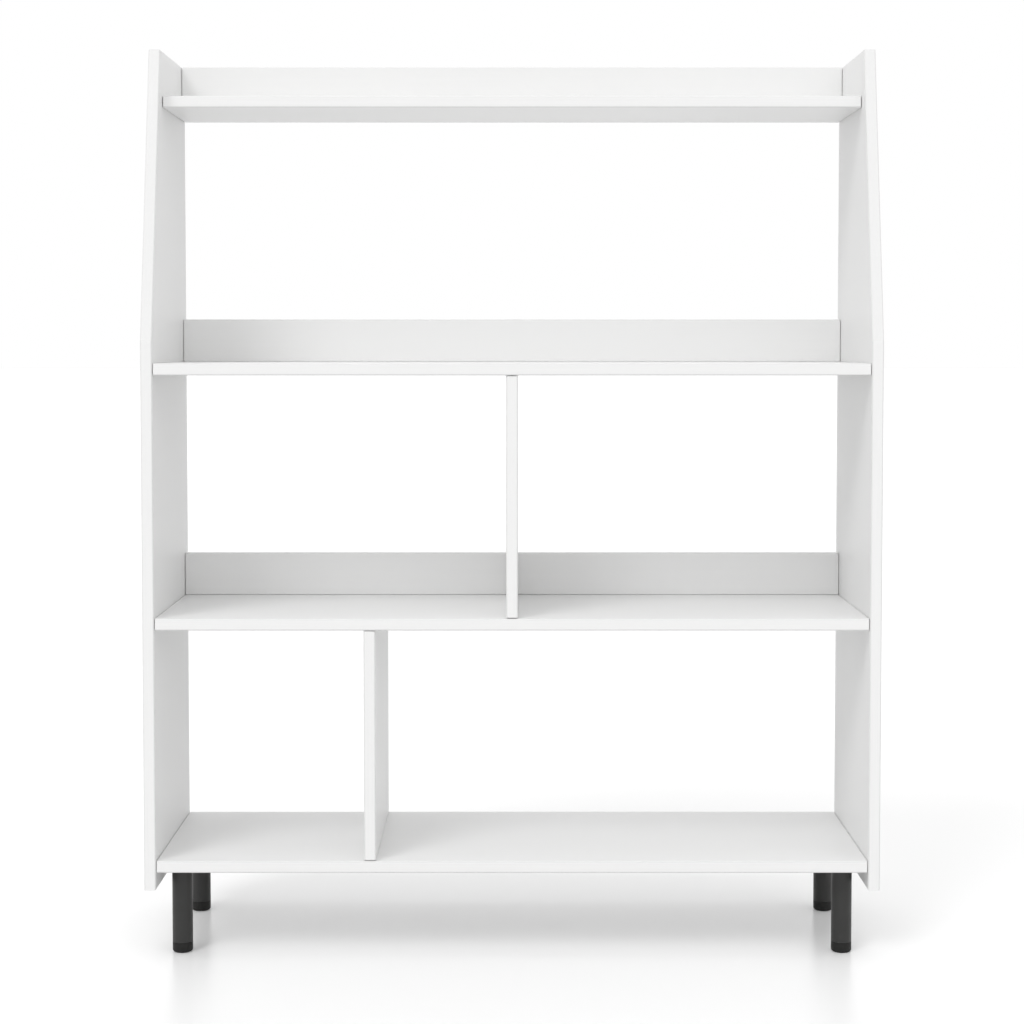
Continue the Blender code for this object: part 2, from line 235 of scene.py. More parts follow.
def rounded_rectangle(width, height, radii):
    """Outline points of a rectangle with a quarter circle at each corner.

    Each corner's points are its arc centre plus the radius times the cosine and sine of
    angles that run a quarter turn on from corner to corner, from the lower right one.
    """
    radii = np.array(radii, float)
    centres = CORNERS * (np.array([width, height]) / 2 - radii[:, None])
    starts = np.radians([-90.0, 0.0, 90.0, 180.0])
    angles = starts[:, None] + np.linspace(0, math.pi / 2, ARC_STEPS + 1)
    arcs = np.stack([np.cos(angles), np.sin(angles)], axis=-1)
    return (centres[:, None] + radii[:, None, None] * arcs).reshape(-1, 2)


def corner_sides(axis, across):
    """Which side of the across axis each corner of a bar's profile lies on, -1 or 1."""
    return CORNERS[:, 0 if across == (axis + 1) % 3 else 1]


def strips_at(corners):
    """Which of the strips between a rounded rectangle's points, in their order, lie in the
    quarter circles at the picked corners."""
    strips = np.repeat(np.asarray(corners)[:, None], ARC_STEPS + 1, axis=1)
    strips[:, -1] = False
    return strips.ravel()


def carried(profiles, axis, stations, centre):
    """Profiles carried straight along one axis.

    Ring i holds profile i's two coordinates on the next two axes, moved to the centre,
    and station i on the axis itself.
    """
    rings = np.empty(profiles.shape[:2] + (3,))
    rings[:] = centre
    rings[:, :, axis] = np.array(stations)[:, None]
    rings[:, :, (axis + 1) % 3] += profiles[..., 0]
    rings[:, :, (axis + 2) % 3] += profiles[..., 1]
    return rings


def mitres(outline):
    """How far each corner of an anticlockwise outline moves in, per unit of inset.

    The corner moves against the sum of its two edges' outward normals, divided by one
    plus their dot product, so that both edges move in by the same distance.
    """
    edges = np.roll(outline, -1, axis=0) - outline
    edges /= np.linalg.norm(edges, axis=1, keepdims=True)
    normals = np.stack([edges[:, 1], -edges[:, 0]], axis=1)
    before = np.roll(normals, 1, axis=0)
    return (normals + before) / (1 + (normals * before).sum(axis=1, keepdims=True))


def turned(radii, heights, sides=ROUND):
    """A surface of revolution about Z.

    Ring i is a circle of radius i at height i; a row of radii per ring, one for each
    angle, gives it another outline.
    """
    angles = np.arange(sides) * math.tau / sides
    radii = np.asarray(radii, float)
    if radii.ndim == 1:
        radii = np.repeat(radii[:, None], sides, axis=1)
    rings = np.empty(radii.shape + (3,))
    rings[..., X] = radii * np.cos(angles)
    rings[..., Y] = radii * np.sin(angles)
    rings[..., Z] = np.asarray(heights, float)[:, None]
    return rings


def quarter(radius, height, size, start):
    """Radii and heights of a quarter circle about a point: the point plus the size times
    the cosine and sine of angles that run a quarter turn on from the start."""
    angles = start + np.linspace(0, math.pi / 2, ARC_STEPS + 1)
    return radius + size * np.cos(angles), height + size * np.sin(angles)


def hexagon(across_flats, sides):
    """Radius at each angle of a hexagon: half its width over the cosine of the angle to
    the nearest flat's middle."""
    angles = np.arange(sides) * math.tau / sides
    sector = math.tau / HEX
    return across_flats / 2 / np.cos((angles + sector / 2) % sector - sector / 2)


def thread(outer, root, start, stop, pitch, sides=THREAD_ROUND):
    """Radii and heights of a helical thread that fades in and out over one pitch.

    With the phase as height over pitch less the share of the turn, the ridge is a clipped
    triangle wave of the phase, and the radius is the root plus the ridge times the depth.
    """
    steps = max(2, round((stop - start) / pitch * STEPS_PER_TURN))
    heights = np.linspace(start, stop, steps + 1)
    turns = np.arange(sides) / sides
    phase = (heights[:, None] / pitch - turns) % 1
    wave = 1 - np.abs(2 * phase - 1)
    ridge = np.clip(RIDGE_STEEPNESS * wave - RIDGE_CUT, 0, 1)
    fade = np.clip(np.minimum(heights - start, stop - heights) / pitch, 0, 1)
    return root + (outer - root) * ridge * fade[:, None], heights


def aimed(rings, base, axis, sign):
    """Rings made about +Z, turned to point along an axis and moved to a base point."""
    order = {X: (Z, X, Y), Y: (Y, Z, X), Z: (X, Y, Z)}[axis]
    made = rings[..., order].copy()
    if sign < 0:
        made[..., axis] *= -1
        made[..., (axis + 1) % 3] *= -1
    return made + np.asarray(base)


# Meshes and objects


def skin(rings, wrap):
    """Faces of a closed surface through rings of points, as lists of point numbers.

    Walls join each point to the next one in its ring and in the next ring. Both ends get a
    flat cap or, wrapped, the last ring is joined to the first. The sum of the determinants
    of the faces' corners, taken about the middle, is six times the volume: where it is
    negative, every face is turned round.
    """
    count, around = rings.shape[:2]
    index = np.arange(count * around).reshape(count, around)
    low = index if wrap else index[:-1]
    high = np.roll(index, -1, axis=0) if wrap else index[1:]
    walls = np.stack([low, np.roll(low, -1, 1), np.roll(high, -1, 1), high], axis=-1)
    walls = walls.reshape(-1, 4)
    caps = np.empty((0, around), int) if wrap else np.stack([index[0, ::-1], index[-1]])
    cap_fans = np.stack(
        [caps[:, :1].repeat(around - 2, 1), caps[:, 1:-1], caps[:, 2:]], axis=-1
    ).reshape(-1, 3)
    fans = np.concatenate([walls[:, [0, 1, 2]], walls[:, [0, 2, 3]], cap_fans])
    points = rings.reshape(-1, 3)
    if np.linalg.det(points[fans] - points.mean(axis=0)).sum() < 0:
        walls = walls[:, ::-1]
        caps = caps[:, ::-1]
    return walls, caps


def mesh_of(name, *solids, wrap=False):
    """One mesh of closed solids, each of them given by its rings of points."""
    points = []
    faces = []
    start = 0
    for rings in solids:
        walls, caps = skin(rings, wrap)
        points.append(rings.reshape(-1, 3))
        faces += (walls + start).tolist() + (caps + start).tolist()
        start += len(points[-1])
    mesh = bpy.data.meshes.new(name)
    mesh.from_pydata(np.concatenate(points), [], faces)
    mesh.validate()
    return mesh


def shown(name, mesh, material, body=CASE, node=None, smooth=False):
    """A finished piece: object at the origin, dressed, and riding on its body. A mesh that
    already has its materials comes with None as material."""
    piece = bpy.data.objects.new(name, mesh)
    bpy.context.scene.collection.objects.link(piece)
    if material:
        mesh.materials.append(material)
    if smooth:
        mesh.shade_smooth()
        mesh.set_sharp_from_angle(angle=SHARP)
    else:
        mesh.shade_flat()
    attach(piece, body)
    if node:
        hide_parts(node)


def box_of(node):
    """The low and the high corner of a CAD node's box."""
    low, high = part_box(node)
    return np.array(low), np.array(high)


def foot_of(node):
    """The middle of the underside of a CAD node's box."""
    low, high = box_of(node)
    return (low[X] + high[X]) / 2, (low[Y] + high[Y]) / 2, low[Z]


def height_of(node):
    """How high a CAD node's box is."""
    low, high = box_of(node)
    return high[Z] - low[Z]


def radius_of(node):
    """Half the width of a CAD node's box."""
    low, high = box_of(node)
    return (high[X] - low[X]) / 2


def meets(one, other):
    """Whether two boxes overlap."""
    return bool((one[0] < other[1]).all() and (other[0] < one[1]).all())


def cylinder_rings(base, axis, sign, stations):
    """Rings of a drill along an axis, from (radius, distance) stations."""
    radii, distances = np.array(stations, float).T
    return aimed(turned(radii, distances), base, axis, sign)


def drills():
    """What each fastener's hole takes out, as rings with their box."""
    sizes = bpy.context.scene.bookcase_fasteners
    legs = bpy.context.scene.bookcase_legs
    gap = sizes.clearance
    made = []
    for name in SCREWS:
        base, axis, sign, reach = screw_axis(name)
        head = sizes.head_radius + gap
        shank = sizes.shank_radius + gap
        stations = (
            (head, -sizes.run_out),
            (head, sizes.head_rim),
            (shank, sizes.head_rim + head - shank),
            (shank, reach + gap),
        )
        made.append(cylinder_rings(base, axis, sign, stations))
    for level in DIVIDER_LEVELS:
        node = f"{level}_divider_dowel"
        radius = radius_of(node) + gap
        stations = ((radius, -gap), (radius, height_of(node) + gap))
        made.append(cylinder_rings(foot_of(node), Z, 1, stations))
    for place in PLACES:
        node = f"{place}_leg_insert"
        radius = legs.insert_radius + gap
        stations = ((radius, -sizes.run_out), (radius, height_of(node) + gap))
        made.append(cylinder_rings(foot_of(node), Z, 1, stations))
    return [(rings, (rings.min(axis=(0, 1)), rings.max(axis=(0, 1)))) for rings in made]


def bored(name, mesh, box, material):
    """The mesh with every fastener's hole that meets its box cut out of it."""
    bits = [rings for rings, reach in drills() if meets(reach, box)]
    mesh.materials.append(material)
    if not bits:
        return mesh
    bit_mesh = mesh_of("bits", *bits)
    bit_mesh.materials.append(finish_chipboard())
    body = bpy.data.objects.new(name, mesh)
    bit = bpy.data.objects.new("bit", bit_mesh)
    for helper in (body, bit):
        bpy.context.scene.collection.objects.link(helper)
    cut = body.modifiers.new("holes", "BOOLEAN")
    cut.operation = "DIFFERENCE"
    cut.solver = "EXACT"
    cut.material_mode = "TRANSFER"
    cut.object = bit
    graph = bpy.context.evaluated_depsgraph_get()
    made = bpy.data.meshes.new_from_object(body.evaluated_get(graph))
    for helper in (body, bit):
        bpy.data.objects.remove(helper)
    return made


# Materials


def add_node(tree, kind, inputs=None, **settings):
    """A shader node with its settings, and its inputs set or linked."""
    made = tree.nodes.new(kind)
    for key, value in settings.items():
        setattr(made, key, value)
    for key, value in (inputs or {}).items():
        if isinstance(value, bpy.types.NodeSocket):
            tree.links.new(value, made.inputs[key])
        else:
            made.inputs[key].default_value = value
    return made


def blank(name):
    """A material with an empty node tree, and its object coordinates."""
    material = bpy.data.materials.new(name)
    material.use_nodes = True
    tree = material.node_tree
    tree.nodes.clear()
    place = add_node(tree, "ShaderNodeTexCoord").outputs["Object"]
    return material, tree, place


def noise(tree, vector, scale, detail=2.0, roughness=0.5):
    """A noise of a scale in waves per metre."""
    inputs = {"Vector": vector, "Scale": scale, "Detail": detail, "Roughness": roughness}
    return add_node(tree, "ShaderNodeTexNoise", inputs).outputs["Fac"]


def drawn_out(tree, vector, scales, detail=2.0, roughness=0.5):
    """A noise with a scale of its own on each axis."""
    inputs = {"Vector": vector, "Scale": scales}
    mapped = add_node(tree, "ShaderNodeMapping", inputs).outputs["Vector"]
    return noise(tree, mapped, 1.0, detail, roughness)


def spread(tree, value, low, high):
    """The range that most of a noise's values lie in, carried onto a range of results."""
    inputs = {
        "Value": value,
        "From Min": NOISE_LOW,
        "From Max": NOISE_HIGH,
        "To Min": low,
        "To Max": high,
    }
    return add_node(tree, "ShaderNodeMapRange", inputs).outputs["Result"]


def between(tree, factor, dark, light):
    """A colour between two, by a factor from 0 to 1."""
    inputs = {0: factor, 6: (*dark, 1.0), 7: (*light, 1.0)}
    mixed = add_node(tree, "ShaderNodeMix", inputs, data_type="RGBA")
    return mixed.outputs[2]


def mottled(tree, value, dark, light):
    """A colour that goes from dark to light with a noise."""
    return between(tree, spread(tree, value, 0.0, 1.0), dark, light)


def raised(tree, height, strength, distance, under=None):
    """A bump of a height in metres, on top of another one if that is given."""
    inputs = {"Height": height, "Strength": strength, "Distance": distance}
    if under:
        inputs["Normal"] = under
    return add_node(tree, "ShaderNodeBump", inputs).outputs["Normal"]


def closed(material, inputs):
    """The material, its tree ended by a Principled shader."""
    tree = material.node_tree
    shader = add_node(tree, "ShaderNodeBsdfPrincipled", inputs)
    end = add_node(tree, "ShaderNodeOutputMaterial")
    tree.links.new(shader.outputs["BSDF"], end.inputs["Surface"])
    return material


def shade(base, share):
    """A colour with each channel multiplied by a share."""
    return tuple(channel * share for channel in base)


def once(maker):
    """A material maker that gives the same material back for the same arguments."""
    made = {}

    def kept(*arguments):
        if arguments not in made:
            made[arguments] = maker(*arguments)
        return made[arguments]

    return kept


def along(axis, lengthwise, crosswise):
    """Scales for a noise: one along an axis, and another on the other two axes."""
    scale = [crosswise] * 3
    scale[axis] = lengthwise
    return scale


@once
def finish_melamine(axis):
    """White melamine face: soft clouds, faint lengthwise streaks, a fine pebbled press
    plate texture and a sheen that varies a little."""
    base = bpy.context.scene.bookcase_finishes.melamine
    material, tree, place = blank(f"white_melamine_{AXES[axis]}")
    streaks = drawn_out(tree, place, along(axis, 5.0, 240.0), detail=4.0, roughness=0.6)
    clouds = noise(tree, place, scale=4.0, detail=3.0)
    pebbles = noise(tree, place, scale=620.0)
    inputs = {0: streaks, 1: 0.5, 2: clouds}
    tone = add_node(tree, "ShaderNodeMath", inputs, operation="MULTIPLY_ADD").outputs[0]
    factor = spread(tree, tone, -0.4, 0.6)
    relief = raised(tree, streaks, strength=0.10, distance=0.0002)
    inputs = {
        "Base Color": between(tree, factor, shade(base, 0.975), base),
        "Roughness": spread(tree, clouds, 0.40, 0.50),
        "Specular IOR Level": SATIN,
        "Normal": raised(tree, pebbles, strength=0.16, distance=0.00012, under=relief),
    }
    return closed(material, inputs)


@once
def finish_band(axis, part):
    """Edge band: a little brighter and glossier than the face, drawn lengthwise. Its copies
    for the slopes and for the rounded arrises are painted shade: a deeper white that on the
    slopes evens out the extra light they catch, and on the arrises stands in for the shade
    along the rounded edges."""
    finishes = bpy.context.scene.bookcase_finishes
    base = getattr(finishes, f"{part}_band")
    material, tree, place = blank(f"white_{part}_band_{AXES[axis]}")
    streaks = drawn_out(tree, place, along(axis, 9.0, 700.0), detail=5.0, roughness=0.65)
    waves = drawn_out(tree, place, along(axis, 14.0, 60.0))
    inputs = {
        "Base Color": mottled(tree, streaks, shade(base, 0.965), base),
        "Roughness": spread(tree, waves, 0.34, 0.42),
        "Specular IOR Level": SATIN,
        "Normal": raised(tree, streaks, strength=0.14, distance=0.0001),
    }
    return closed(material, inputs)


@once
def finish_chipboard():
    """Raw chipboard: coarse flakes of several browns."""
    base = bpy.context.scene.bookcase_finishes.chipboard
    material, tree, place = blank("raw_chipboard")
    inputs = {"Vector": place, "Scale": 700.0}
    flakes = add_node(tree, "ShaderNodeTexVoronoi", inputs).outputs["Distance"]
    inputs = {
        "Base Color": between(tree, flakes, shade(base, 0.6), base),
        "Roughness": 0.9,
        "Normal": raised(tree, flakes, strength=0.5, distance=0.0003),
    }
    return closed(material, inputs)


@once
def finish_coat():
    """Powder coat on steel: a fine orange peel with tiny specks that catch the light."""
    base = bpy.context.scene.bookcase_finishes.coat
    material, tree, place = blank("black_powder_coat")
    peel = noise(tree, place, scale=1300.0)
    clouds = noise(tree, place, scale=60.0, detail=3.0)
    specks = noise(tree, place, scale=4200.0, detail=1.0)
    relief = raised(tree, peel, strength=0.30, distance=0.0002)
    inputs = {
        "Base Color": mottled(tree, specks, shade(base, 0.84), shade(base, 1.12)),
        "Roughness": spread(tree, clouds, 0.42, 0.54),
        "Specular IOR Level": SATIN,
        "Normal": raised(tree, specks, strength=0.15, distance=0.00008, under=relief),
    }
    return closed(material, inputs)


@once
def finish_plastic():
    """Moulded plastic: spark-eroded grain, and faint scuffs that run round the piece."""
    base = bpy.context.scene.bookcase_finishes.plastic
    material, tree, place = blank("black_moulded_plastic")
    grain = noise(tree, place, scale=1900.0, detail=3.0, roughness=0.6)
    scuffs = drawn_out(tree, place, along(Z, 900.0, 180.0), detail=3.0)
    inputs = {
        "Base Color": mottled(tree, scuffs, shade(base, 0.9), shade(base, 1.3)),
        "Roughness": spread(tree, scuffs, 0.48, 0.62),
        "Specular IOR Level": DULL,
        "Normal": raised(tree, grain, strength=0.35, distance=0.00015),
    }
    return closed(material, inputs)


@once
def finish_zinc():
    """Bright zinc plate: a soft spangle with fine turning marks."""
    base = bpy.context.scene.bookcase_finishes.zinc
    material, tree, place = blank("zinc_plate")
    spangle = noise(tree, place, scale=500.0, detail=3.0)
    marks = noise(tree, place, scale=3000.0, detail=1.0)
    inputs = {
        "Base Color": mottled(tree, spangle, shade(base, 0.82), base),
        "Metallic": 1.0,
        "Roughness": spread(tree, spangle, 0.24, 0.38),
        "Normal": raised(tree, marks, strength=0.12, distance=0.00004),
    }
    return closed(material, inputs)


@once
def finish_beech():
    """Turned beech: lengthwise grain with short dark flecks."""
    base = bpy.context.scene.bookcase_finishes.beech
    material, tree, place = blank("beech")
    grain = drawn_out(tree, place, along(Z, 60.0, 900.0), detail=4.0, roughness=0.6)
    flecks = drawn_out(tree, place, along(Z, 500.0, 2600.0))
    inputs = {
        "Base Color": mottled(tree, grain, shade(base, 0.72), base),
        "Roughness": spread(tree, flecks, 0.58, 0.74),
        "Normal": raised(tree, grain, strength=0.25, distance=0.0001),
    }
    return closed(material, inputs)


# Boards


def straight_board(node, axis, across, bands):
    """A board's core and its bands, in place of its CAD node.

    Core and bands are bars along the board's long axis. A band lies on the low side (-1)
    or the high side (1) of the other axis, and both sides of its glue line are eased a
    little, so that the seam shows as a hairline. The sides that touch another board are
    chamfered like the sawn ends.
    """
    sizes = bpy.context.scene.bookcase_boards
    low, high = box_of(node)
    core_low, core_high = low.copy(), high.copy()
    core_radii = {-1: sizes.end, 1: sizes.end}
    for sign, label in bands:
        band_low, band_high = low.copy(), high.copy()
        if sign < 0:
            band_high[across] = core_low[across] = low[across] + sizes.band
        else:
            band_low[across] = core_high[across] = high[across] - sizes.band
        band_low[axis] += sizes.relief
        band_high[axis] -= sizes.relief
        core_radii[sign] = sizes.seam
        radii = {sign: sizes.arris, -sign: sizes.seam}
        name = f"{node}_{label}_band"
        rings = bar(band_low, band_high, axis, across, radii)
        parts = np.full((len(rings) - 1, len(rings[0])), EDGE)
        # The outer arrises get the darker band copy, painted shade along the rounded edges
        parts[:, strips_at(corner_sides(axis, across) == sign)] = PAINTED_ARRIS_SHADE
        shown(name, banded(mesh_of(name, rings), axis, parts), None)
    mesh = mesh_of(node, bar(core_low, core_high, axis, across, core_radii))
    mesh = bored(node, mesh, (low, high), finish_melamine(axis))
    shown(f"{node}_core", mesh, None, node=node)


def banded(mesh, axis, parts):
    """A band's mesh with its finishes, from the number of the finish of each of its walls.
    Its flat ends have the first one."""
    used, slots = np.unique(parts.ravel(), return_inverse=True)
    for number in used:
        mesh.materials.append(finish_band(axis, BAND_PARTS[number]))
    ends = np.zeros(len(mesh.polygons) - len(slots), int)
    mesh.polygons.foreach_set("material_index", np.concatenate([slots, ends]))
    return mesh


def bar(low, high, axis, across, radii):
    """Rings of a bar between two corners along an axis, with one radius for the arrises on
    the low side (-1) of the across axis and one for those on the high side (1).

    The two end rings are the bar's profile scaled in by the end depth, so that its ends
    are chamfered.
    """
    sizes = bpy.context.scene.bookcase_boards
    first, second = (axis + 1) % 3, (axis + 2) % 3
    size = (high - low)[[first, second]]
    sides = corner_sides(axis, across)
    profile = rounded_rectangle(*size, np.where(sides < 0, radii[-1], radii[1]))
    inset = profile * (1 - np.minimum(2 * sizes.end_depth / size, MOST_INSET))
    profiles = np.stack([inset, profile, profile, inset])
    stations = (low[axis], low[axis] + sizes.end, high[axis] - sizes.end, high[axis])
    return carried(profiles, axis, stations, (low + high) / 2)


def side_outline(low, high):
    """A side panel's outline in (y, z), anticlockwise as seen from the right, from its
    lower front corner: underside, back edge, top, slope and front edge."""
    sizes = bpy.context.scene.bookcase_boards
    return np.array(
        [
            (low[Y], low[Z]),
            (high[Y], low[Z]),
            (high[Y], high[Z]),
            (low[Y] + sizes.slope_setback, high[Z]),
            (low[Y], sizes.slope_start),
        ]
    )


def side_panel(side):
    """A side panel's core and the band round its whole edge, in place of its CAD node.

    The band is a rounded rectangle carried round the outline: a point at a depth under
    the edge lies at the corner less that depth times the corner's mitre. The core is the
    outline one band further in, carried across the thickness.
    """
    sizes = bpy.context.scene.bookcase_boards
    node = f"{side}_side_panel"
    low, high = box_of(node)
    outline = side_outline(low, high)
    mitre = mitres(outline)
    thickness = high[X] - low[X]
    middle = (low[X] + high[X]) / 2
    radii = (sizes.arris, sizes.seam, sizes.seam, sizes.arris)
    profile = rounded_rectangle(thickness, sizes.band, radii)
    depths = profile[:, 1] + sizes.band / 2
    band = np.empty((len(outline), len(profile), 3))
    band[..., X] = middle + profile[:, 0]
    band[..., 1:] = outline[:, None] - mitre[:, None] * depths[:, None]
    name = f"{node}_edge_band"
    parts = np.full(band.shape[:2], EDGE)
    # The slope gets the darker band copy, painted shade that evens out the extra light it
    # catches
    parts[SLOPE] = PAINTED_SLOPE_SHADE
    # The outer arrises get the darker band copy, painted shade along the rounded edges
    parts[:, strips_at(CORNERS[:, 1] < 0)] = PAINTED_ARRIS_SHADE
    shown(name, banded(mesh_of(name, band, wrap=True), Z, parts), None)
    half = thickness / 2
    stations = np.array(
        [
            (-half, sizes.band + sizes.seam),
            (-half + sizes.seam, sizes.band),
            (half - sizes.seam, sizes.band),
            (half, sizes.band + sizes.seam),
        ]
    )
    core = np.empty((len(stations), len(outline), 3))
    core[..., X] = middle + stations[:, :1]
    core[..., 1:] = outline - mitre * stations[:, 1, None, None]
    mesh = bored(node, mesh_of(node, core), (low, high), finish_melamine(Z))
    shown(f"{node}_core", mesh, None, node=node)


class BOOKCASE_OT_side_panels(bpy.types.Operator):
    """Makes the two side panels with their edge bands and screw holes"""

    bl_idname = "bookcase.side_panels"
    bl_label = "Side panels"

    def execute(self, context):
        for side in SIDES:
            side_panel(side)
        return {"FINISHED"}


class BOOKCASE_OT_shelves(bpy.types.Operator):
    """Makes the four shelves, banded at the front and the back"""

    bl_idname = "bookcase.shelves"
    bl_label = "Shelves"

    def execute(self, context):
        for level in LEVELS:
            straight_board(f"{level}_shelf", X, Y, ((-1, "front"), (1, "back")))
        return {"FINISHED"}


class BOOKCASE_OT_back_rails(bpy.types.Operator):
    """Makes the three back rails, banded on top"""

    bl_idname = "bookcase.back_rails"
    bl_label = "Back rails"

    def execute(self, context):
        for level in RAIL_LEVELS:
            straight_board(f"{level}_back_rail", X, Z, ((1, "top"),))
        return {"FINISHED"}


class BOOKCASE_OT_dividers(bpy.types.Operator):
    """Makes the two dividers, banded at the front and the back"""

    bl_idname = "bookcase.dividers"
    bl_label = "Dividers"

    def execute(self, context):
        for level in DIVIDER_LEVELS:
            straight_board(f"{level}_divider", Z, Y, ((-1, "front"), (1, "back")))
        return {"FINISHED"}


# Fasteners


def screw_axis(name):
    """Where a screw's head face lies, its axis, which way it points, and its length. A
    screw through a side points inwards, and one under a divider points up."""
    low, high = box_of(name)
    axis = int(np.argmax(high - low))
    middle = (low + high) / 2
    sign = 1 if axis == Z or middle[X] < 0 else -1
    base = middle.copy()
    base[axis] = low[axis] if sign > 0 else high[axis]
    return base, axis, sign, float(high[axis] - low[axis])


def screw_rings(reach):
    """Rings of a screw from the floor of its socket to its tip: hexagon socket, rounded
    rim, countersunk cone, neck, helical thread and point."""
    sizes = bpy.context.scene.bookcase_fasteners
    ones = np.ones(THREAD_ROUND)
    socket = hexagon(sizes.socket, THREAD_ROUND)
    rounding = sizes.rim_rounding
    rim_radii, rim_heights = quarter(sizes.head_radius - rounding, -rounding, rounding, 0.0)
    cone = sizes.head_rim + sizes.head_radius - sizes.shank_radius
    radii = [socket, socket, socket + rounding]
    heights = [sizes.socket_depth, rounding, 0.0]
    radii += [ones * radius for radius in rim_radii[::-1]]
    heights += list(-rim_heights[::-1])
    shank = ones * sizes.shank_radius
    radii += [ones * sizes.head_radius, shank, shank]
    heights += [sizes.head_rim, cone, sizes.neck]
    shoulder = sizes.neck + sizes.shank_radius - sizes.core_radius
    ridges, ridge_heights = thread(
        sizes.shank_radius, sizes.core_radius, shoulder, reach - sizes.tip, sizes.pitch
    )
    radii += list(ridges) + [ones * sizes.core_radius / POINT_TAPER]
    heights += list(ridge_heights) + [reach]
    return turned(np.array(radii), heights, THREAD_ROUND)


def dowel_rings(reach, radius):
    """Rings of a dowel: chamfered ends, and a radius that dips by the flute depth where
    the cosine of the flute count times the angle is high."""
    sizes = bpy.context.scene.bookcase_fasteners
    sides = FLUTE_STEPS * sizes.dowel_flutes
    angles = np.arange(sides) * math.tau / sides
    dips = sizes.flute_depth * np.clip(np.cos(sizes.dowel_flutes * angles), 0, 1)
    chamfer = DOWEL_CHAMFER * sizes.flute_depth
    end = np.full(sides, radius - chamfer)
    wall = radius - dips
    heights = [0, chamfer, reach - chamfer, reach]
    return turned(np.array([end, wall, wall, end]), heights, sides)


class BOOKCASE_OT_screws(bpy.types.Operator):
    """Makes the countersunk socket screws with their threads"""

    bl_idname = "bookcase.screws"
    bl_label = "Screws"

    def execute(self, context):
        for name in SCREWS:
            base, axis, sign, reach = screw_axis(name)
            rings = aimed(screw_rings(reach), base, axis, sign)
            mesh = mesh_of(name, rings)
            finish = finish_zinc()
            shown(f"{name}_turned", mesh, finish, node=name, smooth=True)
        return {"FINISHED"}


class BOOKCASE_OT_dowels(bpy.types.Operator):
    """Makes the fluted beech dowels in the tops of the dividers"""

    bl_idname = "bookcase.dowels"
    bl_label = "Dowels"

    def execute(self, context):
        for level in DIVIDER_LEVELS:
            node = f"{level}_divider_dowel"
            rings = dowel_rings(height_of(node), radius_of(node)) + foot_of(node)
            mesh = mesh_of(node, rings)
            shown(f"{node}_fluted", mesh, finish_beech(), node=node)
        return {"FINISHED"}


# Legs and feet


def leg_centre(place):
    """Where a leg's axis meets the floor."""
    x, y, _ = foot_of(f"{place}_leg")
    return x, y, 0.0


def leg_rings(radius, top, tip):
    """Rings of a leg: from the disc's underside down the bore, round the lip, up the
    outside, over the top disc and up the threaded stud to its tip."""
    sizes = bpy.context.scene.bookcase_legs
    bore = radius - sizes.wall
    lip = sizes.lip
    foot = sizes.foot_height
    lower, lower_heights = quarter(radius - lip, foot + lip, lip, -math.pi / 2)
    upper, upper_heights = quarter(radius - lip, top - lip, lip, 0.0)
    root = sizes.stud_radius - sizes.thread_depth
    ones = np.ones(ROUND)
    radii = [bore, bore, *lower, *upper, root]
    heights = [top - sizes.disc, foot, *lower_heights, *upper_heights, top]
    ridges, ridge_heights = thread(
        sizes.stud_radius, root, top + lip, tip - lip, sizes.stud_pitch, ROUND
    )
    rows = [ones * value for value in radii] + list(ridges) + [ones * (root - lip)]
    return turned(np.array(rows), heights + list(ridge_heights) + [tip])


def sleeve_rings(inner, outer, start, stop, lip):
    """Rings of a sleeve: a rounded rectangle turned about the axis."""
    profile = rounded_rectangle(outer - inner, stop - start, [lip] * 4)
    radii = profile[:, 0] + (inner + outer) / 2
    return turned(radii, profile[:, 1] + (start + stop) / 2)


def pad_rings(radius, top):
    """Rings of a foot pad: a shallow dish below, the rounded lower edge, the wall, the
    eased shoulder, and the neck and pocket that hold the stud's head."""
    sizes = bpy.context.scene.bookcase_legs
    gap = bpy.context.scene.bookcase_fasteners.clearance
    rounding = sizes.pad_rounding
    shoulder = sizes.pad_shoulder
    lower, lower_heights = quarter(radius - rounding, rounding, rounding, -math.pi / 2)
    upper, upper_heights = quarter(radius - shoulder, top - shoulder, shoulder, 0.0)
    head = box_of(f"{PLACES[0]}_foot_stud")[0][Z]
    neck = sizes.stud_radius + gap
    pocket = sizes.head_radius + gap
    roof = head + sizes.head_height + gap
    dish = sizes.dish_radius
    depth = sizes.dish_depth
    radii = [dish - depth, dish, *lower, *upper, neck, neck, pocket, pocket]
    heights = [depth, 0.0, *lower_heights, *upper_heights, top, roof, roof, head - gap]
    return turned(radii, heights)


def stud_rings(low, high):
    """Rings of a levelling stud: captive head, then the threaded shank."""
    sizes = bpy.context.scene.bookcase_legs
    root = sizes.stud_radius - sizes.thread_depth
    head = low + sizes.head_height
    ones = np.ones(THREAD_ROUND)
    lip = sizes.lip
    under, under_heights = quarter(sizes.head_radius - lip, low + lip, lip, -math.pi / 2)
    over, over_heights = quarter(sizes.head_radius - lip, head - lip, lip, 0.0)
    radii = [*under, *over, root]
    heights = [*under_heights, *over_heights, head]
    ridges, ridge_heights = thread(
        sizes.stud_radius, root, head + lip, high - lip, sizes.stud_pitch
    )
    rows = [ones * value for value in radii] + list(ridges) + [ones * (root - lip)]
    return turned(np.array(rows), heights + list(ridge_heights) + [high], THREAD_ROUND)


